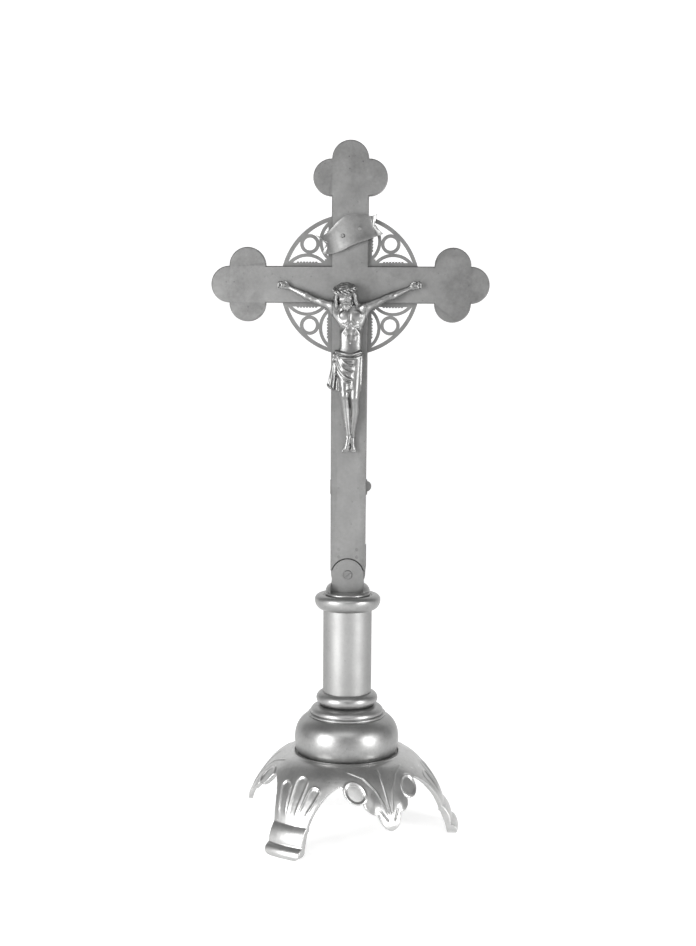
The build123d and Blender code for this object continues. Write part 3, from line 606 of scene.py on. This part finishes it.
# short beard in waving locks along the jaw
BEARD_LOCKS = 11
BEARD_MIDDLE = BEARD_LOCKS // 2
BEARD_SPREAD = math.radians(78.0)
for at in range(BEARD_LOCKS):
    place = (at - BEARD_MIDDLE) / BEARD_MIDDLE
    turn = place * BEARD_SPREAD
    u0, v0 = 3.7 * math.sin(turn), 0.9 + 3.9 * math.cos(turn)
    w0 = -6.1 + 3.0 * abs(place) ** 1.6
    low = -9.9 + 1.6 * abs(place) + dice.uniform(-0.3, 0.3)
    sway = 0.35 * (-1) ** at
    head.strand(
        [(u0, v0, w0), (u0 * 1.02 + sway, v0 + 0.35, (w0 * 2 + low) / 3.0),
         (u0 * 0.85 - sway, v0 + 0.1, (w0 + low * 2) / 3.0), (u0 * 0.62, v0 - 0.6, low)],
        (0.55, 0.68, 0.6, 0.3), 0.2, steps=5,
    )
# hair parted in the middle, drawn back over the temples and falling in waves to the shoulders
LOCKS = 8
for side in (-1, 1):
    for lock in range(LOCKS):
        share = lock / (LOCKS - 1)
        back = -6.0 * share
        wave = dice.uniform(-0.5, 0.5)
        head.strand(
            [
                on_cap(side * 0.3, 4.0 - 7.6 * share, 6.5),
                on_cap(side * 3.7, 3.9 - 7.8 * share, 5.5),
                on_cap(side * 5.9, 2.9 + back, 2.6),
                (side * (6.6 + wave), 2.3 + back * 0.9, -0.4),
                (side * (6.1 - wave), 2.3 + back * 0.8, -3.2),
                (side * (7.1 + wave), 2.7 + back * 0.7, -5.8),
                (side * (6.6 - 0.5 * share), 2.0 + back * 0.6, -8.6 + share),
            ],
            (0.5, 0.95, 1.15, 1.2, 1.15, 1.05, 0.4), 0.22, steps=5,
        )
        head.strand(
            [
                on_cap(side * 0.5, 3.2 - 7.6 * share, 7.0),
                on_cap(side * 4.6, 3.2 - 7.6 * share, 4.6),
                on_cap(side * 6.3, 2.4 + back, 1.2),
                (side * (6.3 - wave), 2.9 + back * 0.9, -1.8),
                (side * (7.2 + wave), 2.6 + back * 0.8, -4.6),
                (side * (6.2 - 0.5 * share), 2.4 + back * 0.7, -7.2 + share),
            ],
            (0.4, 0.7, 0.75, 0.75, 0.7, 0.3), 0.18, steps=5,
        )
# waving locks over the top of the head, from the parting outwards
TOP_LOCKS = 8
TOP_FRONT = 4.6
TOP_PITCH = 1.4
for side in (-1, 1):
    for lock in range(TOP_LOCKS):
        front = TOP_FRONT - TOP_PITCH * lock
        wave = dice.uniform(0.3, 0.8) * (-1) ** lock
        head.strand(
            [on_cap(side * 0.3, front, 7.5), on_cap(side * 1.9, front + wave, 7.0),
             on_cap(side * 3.4, front - wave, 6.2), on_cap(side * 4.9, front + wave, 5.0)],
            (0.6, 0.95, 0.95, 0.8), 0.14, steps=5,
        )
# crown of thorns: twisted stems with short thorns
CROWN_V = -0.5
CROWN_W = 4.3
CROWN_TILT = 0.5           # how much lower the crown sits at the front
STEMS = 3
STEM_POINTS = 48
STEM_RADIUS = 6.5
TWISTS = 5
TWIST_OUT = 1.0
TWIST_UP = 1.35
THORNS = 18
THORN_FOOT = 6.6
THORN_TIP = (8.6, 8.4)
THORN_LEAN = 0.12
for stem in range(STEMS):
    ring = []
    for at in range(STEM_POINTS + 1):
        turn = 2 * math.pi * at / STEM_POINTS
        twist = TWISTS * turn + stem * 2 * math.pi / STEMS
        out = TWIST_OUT * math.cos(twist)
        ring.append((
            (STEM_RADIUS + out) * math.cos(turn),
            CROWN_V + (STEM_RADIUS + out) * math.sin(turn),
            CROWN_W + TWIST_UP * math.sin(twist) - CROWN_TILT * math.sin(turn),
        ))
    head.strand(ring, (0.8, 0.8), 0.12, steps=2)
for thorn in range(THORNS):
    turn = 2 * math.pi * (thorn + dice.uniform(-0.2, 0.2)) / THORNS
    rise = dice.uniform(-0.7, 1.1)
    foot = (THORN_FOOT * math.cos(turn), CROWN_V + THORN_FOOT * math.sin(turn),
            CROWN_W - CROWN_TILT * math.sin(turn))
    tip = (THORN_TIP[0] * math.cos(turn + THORN_LEAN),
           CROWN_V + THORN_TIP[1] * math.sin(turn + THORN_LEAN), foot[2] + rise)
    head.bone(foot, 0.36, tip, 0.12, 0.15)

# ------------------------------------------------------------------ corpus: placing and parting
FIGURE_SHIFT = np.array((0.0, 0.0, -4.0))     # the forms above stand 4 mm over their place
HEAD_SIZE = 1.05
HEAD_AT = np.array((-2.4, -12.0, 390.9))
LEAN = math.radians(6.0)
BOW = math.radians(16.0)
head_right = np.array((math.cos(LEAN), 0.0, math.sin(LEAN)))
head_up = np.array(
    (-math.sin(LEAN) * math.cos(BOW), -math.sin(BOW), math.cos(LEAN) * math.cos(BOW))
)
head_front = np.cross(head_right, head_up)
HEAD_AXES = np.array((head_right, head_front, head_up))


def place_head(points):
    """From the head's own axes to the figure's."""
    return HEAD_SIZE * points @ HEAD_AXES + HEAD_AT + FIGURE_SHIFT


def place_body(points):
    """From the figure's forms to their place on the cross."""
    return points + FIGURE_SHIFT


SHOULDER_CUT = 11.5        # the arms part from the trunk here, left and right
ARMPIT_Z = 370.0           # below this nothing is cut away as arm
CROSS_FACE = -3.02         # the figure stops at the front of the cross


def trunk_side(x, y, z):
    """Positive where the trunk piece stops: beyond the shoulders, or inside the cross."""
    return np.maximum(np.minimum(abs(x) - SHOULDER_CUT, z - ARMPIT_Z), y - CROSS_FACE)


def left_arm_side(x, y, z):
    """Positive where the left arm stops: at the shoulder, or inside the cross."""
    return np.maximum(np.maximum(x + SHOULDER_CUT, ARMPIT_Z - z), y - CROSS_FACE)


def right_arm_side(x, y, z):
    """Positive where the right arm stops: at the shoulder, or inside the cross."""
    return np.maximum(np.maximum(SHOULDER_CUT - x, ARMPIT_Z - z), y - CROSS_FACE)


trunk = body.mesh("corpus_trunk", place_body, trunk_side)
skull = head.mesh("corpus_head", place_head)
relax(trunk, 0.5, 2)
relax(skull, 0.4, 1)
left_arm = body.mesh("corpus_left_arm", place_body, left_arm_side)
right_arm = body.mesh("corpus_right_arm", place_body, right_arm_side)
for limb in (left_arm, right_arm):
    relax(limb, 0.5, 2)
for piece in (trunk, skull, left_arm, right_arm):
    dress(piece, FIGURE)
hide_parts("corpus_body")
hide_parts("corpus_arm_left")
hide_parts("corpus_arm_right")
for piece in (trunk, skull, left_arm, right_arm):
    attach(piece, "cross")

# ------------------------------------------------------------------ scroll: a waving ribbon
SCROLL_STATIONS = (
    # upper edge x, z and lower edge x, z over the arms' line, then depth
    (-24.2, 34.2, -19.4, 22.0, -5.6),
    (-20.6, 33.6, -16.4, 21.2, -4.7),
    (-16.2, 36.2, -12.1, 21.6, -4.5),
    (-12.4, 39.9, -8.0, 22.8, -4.9),
    (-8.3, 44.2, -3.6, 24.6, -5.6),
    (-3.6, 47.4, 0.8, 27.0, -6.2),
    (1.6, 48.9, 5.6, 29.0, -6.5),
    (6.9, 49.0, 10.6, 30.6, -6.4),
    (11.6, 48.2, 15.6, 32.4, -5.6),
    (15.6, 48.0, 20.0, 34.2, -4.7),
    (19.2, 49.2, 23.6, 35.4, -5.4),
)
SCROLL_COLUMNS = 90
SCROLL_ROWS = 9
SCROLL_THICK = 0.62
SCROLL_EDGE = 0.14
EDGE_ROLL = 0.22           # how far the long edges come forward
NOTCH_LEFT = 6.2
NOTCH_RIGHT = 4.6
TAIL_LEFT = 0.16           # share of the length that each notched end takes up
TAIL_RIGHT = 0.15
TAIL_RISE = 0.25           # rise of the left notch, and fall of the right one, over its depth
ARMS_Z = 395.0


def curve_through(points, share):
    """Point at a share of the way along a Catmull-Rom curve."""
    count = len(points) - 1
    at = min(int(share * count), count - 1)
    t = share * count - at
    p0, p1, p2, p3 = (
        np.array(points[max(0, min(count, at + k))], dtype=float) for k in (-1, 0, 1, 2)
    )
    return catmull(p0, p1, p2, p3, t)


sheet = bmesh.new()
grid = []
for column in range(SCROLL_COLUMNS + 1):
    share = column / SCROLL_COLUMNS
    x_up, z_up, x_low, z_low, depth = curve_through(SCROLL_STATIONS, share)
    line = []
    for row in range(SCROLL_ROWS):
        across = row / (SCROLL_ROWS - 1)
        peak = 1.0 - abs(2.0 * across - 1.0)
        x = x_up + (x_low - x_up) * across
        z = z_up + (z_low - z_up) * across
        # swallow tails: the ends are drawn in along the middle
        left_pull = max(0.0, 1.0 - share / TAIL_LEFT) * NOTCH_LEFT * peak
        right_pull = max(0.0, 1.0 - (1.0 - share) / TAIL_RIGHT) * NOTCH_RIGHT * peak
        # the long edges roll slightly forward
        roll = EDGE_ROLL * abs(2.0 * across - 1.0) ** 3
        line.append(sheet.verts.new((
            (x + left_pull - right_pull) * MM, (depth - roll) * MM,
            (ARMS_Z + z + TAIL_RISE * left_pull - TAIL_RISE * right_pull) * MM,
        )))
    grid.append(line)
for column in range(SCROLL_COLUMNS):
    for row in range(SCROLL_ROWS - 1):
        sheet.faces.new((
            grid[column][row], grid[column][row + 1],
            grid[column + 1][row + 1], grid[column + 1][row],
        ))
scroll_mesh = bpy.data.meshes.new("scroll_ribbon")
sheet.to_mesh(scroll_mesh)
sheet.free()
scroll = bpy.data.objects.new("scroll_ribbon", scroll_mesh)
scene.collection.objects.link(scroll)
scroll_mesh.polygons.foreach_set("use_smooth", [True] * len(scroll_mesh.polygons))
thick = scroll.modifiers.new("thick", "SOLIDIFY")
thick.thickness = SCROLL_THICK * MM
thick.offset = 0.0
soft = scroll.modifiers.new("soft", "BEVEL")
soft.width = SCROLL_EDGE * MM
soft.segments = 2
soft.limit_method = "ANGLE"
apply_modifiers(scroll)
dress(scroll, FIGURE)
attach(scroll, "cross")
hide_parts("titulus_scroll")

# ------------------------------------------------------------------ cast relief on the tripod
THIRD = 120.0              # degrees between legs, and between leaves
LEG_TURN = 30.0            # the first leg is this far left of the front, the first leaf right of it
# outer profile of the dome, radius by height, from its seat to the leaves' tips
OUTER_R = (38.8, 49.2, 60.4, 68.2, 71.2, 71.8)
OUTER_Z = (57.8, 54.1, 42.4, 30.3, 23.0, 17.4)
# pointed arch engraved on each leaf: height, distance from the vein, and the cosine of its slope
OGIVE_Z = (29.0, 33.0, 37.0, 44.0, 51.5, 54.6)
OGIVE_V = (1.6, 2.9, 3.8, 6.6, 12.4, 20.5)
OGIVE_SLOPE = (1.0, 1.0, 0.95, 0.85, 0.5, 0.4)
LINE_HIGH = 0.42           # the raised lines' height and half width
LINE_HALF = 0.5
LINES_TOP = 55.5
SWELL_HIGH = 0.5           # swelling of the second lobes and of the tip
CREASE_DEEP = 0.4
DISC_DEEP = 0.55
DISC_RIM_HIGH = 0.62
LOBE_V = 21.0
LOBE_Z = 43.2
LOBE_RING = 6.3
FLUTES = ((-11.5, 46.5, 4.4), (0.0, 50.6, 4.8), (11.5, 45.6, 4.4))   # angle, top, half width
FLUTE_RIM_HIGH = 0.38
FLUTE_DEEP = 0.42
SEAT_R = 40.2
SEAT_RIM_HIGH = 0.35
VOXEL = 0.00046


def ridge(distance, half):
    """Rounded ridge of unit height about distance zero."""
    return np.exp(-((distance / half) ** 2))


def smooth_step(value, low, high):
    """Smooth rise from 0 at low to 1 at high."""
    t = np.clip((value - low) / (high - low), 0.0, 1.0)
    return t * t * (3 - 2 * t)


def relief(x, y, z):
    """Height of the cast ornament over the dome and the legs, in mm."""
    radius = np.hypot(x, y)
    turn = np.degrees(np.arctan2(x, -y))
    from_leg = (turn + LEG_TURN + THIRD / 2) % THIRD - THIRD / 2
    from_leaf = (turn - LEG_TURN + THIRD / 2) % THIRD - THIRD / 2
    v = radius * np.sin(np.radians(from_leaf))
    side = np.abs(v)
    on_leaf = smooth_step(THIRD / 4 - np.abs(from_leaf), -1.0, 1.0)
    total = np.zeros_like(x)
    # middle vein and the two lines that meet it at the tip
    vein = LINE_HIGH * ridge(v, LINE_HALF)
    total += vein * smooth_step(z, 27.0, 31.0) * smooth_step(LINES_TOP - z, 0.0, 1.5)
    ogive = side - np.interp(z, OGIVE_Z, OGIVE_V)
    slope = np.interp(z, OGIVE_Z, OGIVE_SLOPE)
    arch = LINE_HIGH * ridge(ogive * slope, LINE_HALF)
    total += arch * smooth_step(z, 28.0, 31.0) * smooth_step(LINES_TOP - z, 0.0, 1.0)
    # second lobes and tip swell a little, with a crease between them
    total += SWELL_HIGH * ridge(side - 10.5, 3.2) * ridge(z - 36.0, 5.0) * on_leaf
    total += SWELL_HIGH * ridge(v, 4.2) * ridge(z - 23.0, 4.5) * on_leaf
    crease = CREASE_DEEP * ridge(side - (3.0 + 0.62 * (z - 26.0)), 0.55)
    total -= crease * smooth_step(z, 24.5, 26.5) * smooth_step(35.0 - z, 0.0, 5.0) * on_leaf
    # round lobes: sunk disc inside a ridge
    spot = np.hypot(side - LOBE_V, (z - LOBE_Z) * 1.05)
    total -= DISC_DEEP * smooth_step(LOBE_RING - spot, 0.0, 1.6) * on_leaf
    total += DISC_RIM_HIGH * ridge(spot - LOBE_RING - 0.3, 0.6) * on_leaf
    # three flutes down each leg, drawn together towards the foot
    for angle, top, half in FLUTES:
        u = radius * np.sin(np.radians(from_leg - angle * np.clip((z - 5.0) / 38.0, 0.35, 1.0)))
        drop = (top - half * 0.8 - z) * 1.25
        round_top = np.hypot(u, np.maximum(-drop, 0.0))
        width = half * (0.72 + 0.28 * smooth_step(z, 26.0, 46.0))
        edge = round_top - width
        fade = smooth_step(z, 23.5, 36.0) * smooth_step(40.0 - np.abs(from_leg), 0.0, 10.0)
        hollow = FLUTE_DEEP * smooth_step(-edge, 0.2, 2.2)
        total += (FLUTE_RIM_HIGH * ridge(edge, 0.55) - hollow) * fade
    # rim along the dome's seat for the bulb
    total += SEAT_RIM_HIGH * ridge(radius - SEAT_R, 0.8) * smooth_step(z, 50.0, 55.0)
    return total


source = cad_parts["base_tripod"]
base = bpy.data.objects.new("base_relief", source.data.copy())
base.matrix_world = source.matrix_world.copy()
scene.collection.objects.link(base)
cells = base.modifiers.new("cells", "REMESH")
cells.mode = "VOXEL"
cells.voxel_size = VOXEL
cells.use_smooth_shade = True
apply_modifiers(base)
relax(base, 0.5, 2)
count = len(base.data.vertices)
flat = np.empty(count * 3, dtype=np.float32)
base.data.vertices.foreach_get("co", flat)
spots = flat.reshape(-1, 3).astype(np.float64)
normals = np.empty(count * 3, dtype=np.float32)
base.data.vertices.foreach_get("normal", normals)
normals = normals.reshape(-1, 3).astype(np.float64)
turned = np.array(base.matrix_world.to_3x3())
centre = np.array(base.matrix_world.translation)
world_spots = (spots @ turned.T + centre) / MM
world_normals = normals @ turned.T
radii = np.hypot(world_spots[:, 0], world_spots[:, 1])
outward = (
    world_spots[:, 0] * world_normals[:, 0] + world_spots[:, 1] * world_normals[:, 1]
) / radii
# 1 on the outer skin, facing out or up, above the feet, and 0 elsewhere
outer = smooth_step(outward * 0.8 + world_normals[:, 2] * 0.6, 0.45, 0.75)
skin = np.interp(-world_spots[:, 2], [-z for z in OUTER_Z], OUTER_R)
outer *= smooth_step(radii - skin, -1.4, -0.8) * smooth_step(world_spots[:, 2], 19.0, 22.5)
lift = relief(world_spots[:, 0], world_spots[:, 1], world_spots[:, 2]) * outer
moved = spots + normals * (lift * MM)[:, None]
# nothing goes below the floor
sunk = np.minimum((moved @ turned.T + centre)[:, 2], 0.0)
moved -= np.outer(sunk, turned[2])
base.data.vertices.foreach_set("co", moved.astype(np.float32).ravel())
base.data.update()
dress(base, BASE)
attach(base, "stand")
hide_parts("base_tripod")


# ------------------------------------------------------------------ camera, light and floor
AIM = Vector((-0.0004, 0.0, 0.2607))
DISTANCE = 1.008
AZIMUTH = math.radians(3.3)
PITCH = math.radians(5.5)
ROLL = math.radians(0.42)
LENS_MM = 53.3
SENSOR_MM = 36.0


def aim_matrix(place, target):
    """Matrix that puts an object at place looking at target, with its own Y up."""
    back = (place - target).normalized()
    side = Vector((0, 0, 1)).cross(back).normalized()
    up = back.cross(side)
    turn = Matrix((side, up, back)).transposed().to_4x4()
    return Matrix.Translation(place) @ turn


eye = AIM + DISTANCE * Vector((
    math.sin(AZIMUTH) * math.cos(PITCH),
    -math.cos(AZIMUTH) * math.cos(PITCH),
    math.sin(PITCH),
))
camera_data = bpy.data.cameras.new("camera")
camera_data.sensor_width = SENSOR_MM
camera_data.lens = LENS_MM
camera_data.clip_start = 0.05
camera_data.clip_end = 30.0
camera = bpy.data.objects.new("camera", camera_data)
scene.collection.objects.link(camera)
camera.matrix_world = aim_matrix(eye, AIM) @ Matrix.Rotation(ROLL, 4, "Z")
scene.camera = camera


def softbox(name, place, wide, tall, power):
    """Rectangular studio light, aimed at the middle of the object."""
    data = bpy.data.lights.new(name, "AREA")
    data.shape = "RECTANGLE"
    data.size = wide
    data.size_y = tall
    data.energy = power
    lamp = bpy.data.objects.new(name, data)
    scene.collection.objects.link(lamp)
    lamp.matrix_world = aim_matrix(Vector(place), MIDDLE)


MIDDLE = Vector((0.0, 0.0, 0.16))
softbox("key_left", (-0.95, -0.95, 0.42), 0.55, 0.75, 19.0)
softbox("key_right", (1.05, -0.75, 0.36), 0.40, 0.65, 11.0)
softbox("front_fill", (0.0, -1.6, 1.9), 1.6, 0.9, 10.0)

# the room: white to the camera, and a grey that darkens upwards to everything the metal reflects
WHITE = (1.0, 1.0, 1.0, 1.0)
ROOM_LOW = -0.15           # direction heights between which the room darkens
ROOM_HIGH = 0.55
ROOM_BRIGHT = 0.70
ROOM_DIM = 0.30
world = bpy.data.worlds.new("studio")
world.use_nodes = True
sky_nodes, sky_links = world.node_tree.nodes, world.node_tree.links
sky = sky_nodes["Background"]
backdrop = sky_nodes.new("ShaderNodeBackground")
backdrop.inputs["Color"].default_value = WHITE
backdrop.inputs["Strength"].default_value = 1.0
ray = sky_nodes.new("ShaderNodeLightPath")
chooser = sky_nodes.new("ShaderNodeMixShader")
sky_links.new(ray.outputs["Is Camera Ray"], chooser.inputs["Fac"])
sky_links.new(sky.outputs["Background"], chooser.inputs[1])
sky_links.new(backdrop.outputs["Background"], chooser.inputs[2])
sky_links.new(chooser.outputs["Shader"], sky_nodes["World Output"].inputs["Surface"])
sky_coord = sky_nodes.new("ShaderNodeTexCoord")
sky_split = sky_nodes.new("ShaderNodeSeparateXYZ")
sky_ramp = sky_nodes.new("ShaderNodeMapRange")
sky_ramp.inputs["From Min"].default_value = ROOM_LOW
sky_ramp.inputs["From Max"].default_value = ROOM_HIGH
sky_ramp.inputs["To Min"].default_value = ROOM_BRIGHT
sky_ramp.inputs["To Max"].default_value = ROOM_DIM
sky_links.new(sky_coord.outputs["Generated"], sky_split.inputs["Vector"])
sky_links.new(sky_split.outputs["Z"], sky_ramp.inputs["Value"])
sky_links.new(sky_ramp.outputs["Result"], sky.inputs["Strength"])
sky.inputs["Color"].default_value = WHITE
scene.world = world

# floor sheet that sweeps up behind the object
SWEEP = ((-4.0, 0.0), (1.6, 0.0), (2.1, 0.06), (2.5, 0.25), (2.8, 0.55), (3.0, 1.0), (3.05, 4.0))
SHEET_HALF = 4.0
FLOOR_DROP = 0.0002        # the sheet lies just under the feet
PAPER_GREY = (0.72, 0.72, 0.72, 1.0)
PAPER_GLOW = 0.57
floor_mesh = bpy.data.meshes.new("floor")
floor_mesh.from_pydata(
    [(across, along, rise) for along, rise in SWEEP for across in (-SHEET_HALF, SHEET_HALF)],
    [],
    [(2 * at, 2 * at + 1, 2 * at + 3, 2 * at + 2) for at in range(len(SWEEP) - 1)],
)
floor_mesh.polygons.foreach_set("use_smooth", [True] * len(floor_mesh.polygons))
floor = bpy.data.objects.new("floor", floor_mesh)
scene.collection.objects.link(floor)
floor.location.z = -FLOOR_DROP
paper = bpy.data.materials.new("paper_floor")
paper.use_nodes = True
paper_shader = paper.node_tree.nodes["Principled BSDF"]
paper_shader.inputs["Base Color"].default_value = PAPER_GREY
paper_shader.inputs["Roughness"].default_value = 0.9
paper_shader.inputs["Emission Color"].default_value = WHITE
paper_shader.inputs["Emission Strength"].default_value = PAPER_GLOW
floor.data.materials.append(paper)

scene.view_settings.view_transform = "Standard"
scene.view_settings.look = "None"
scene.view_settings.exposure = 0.0
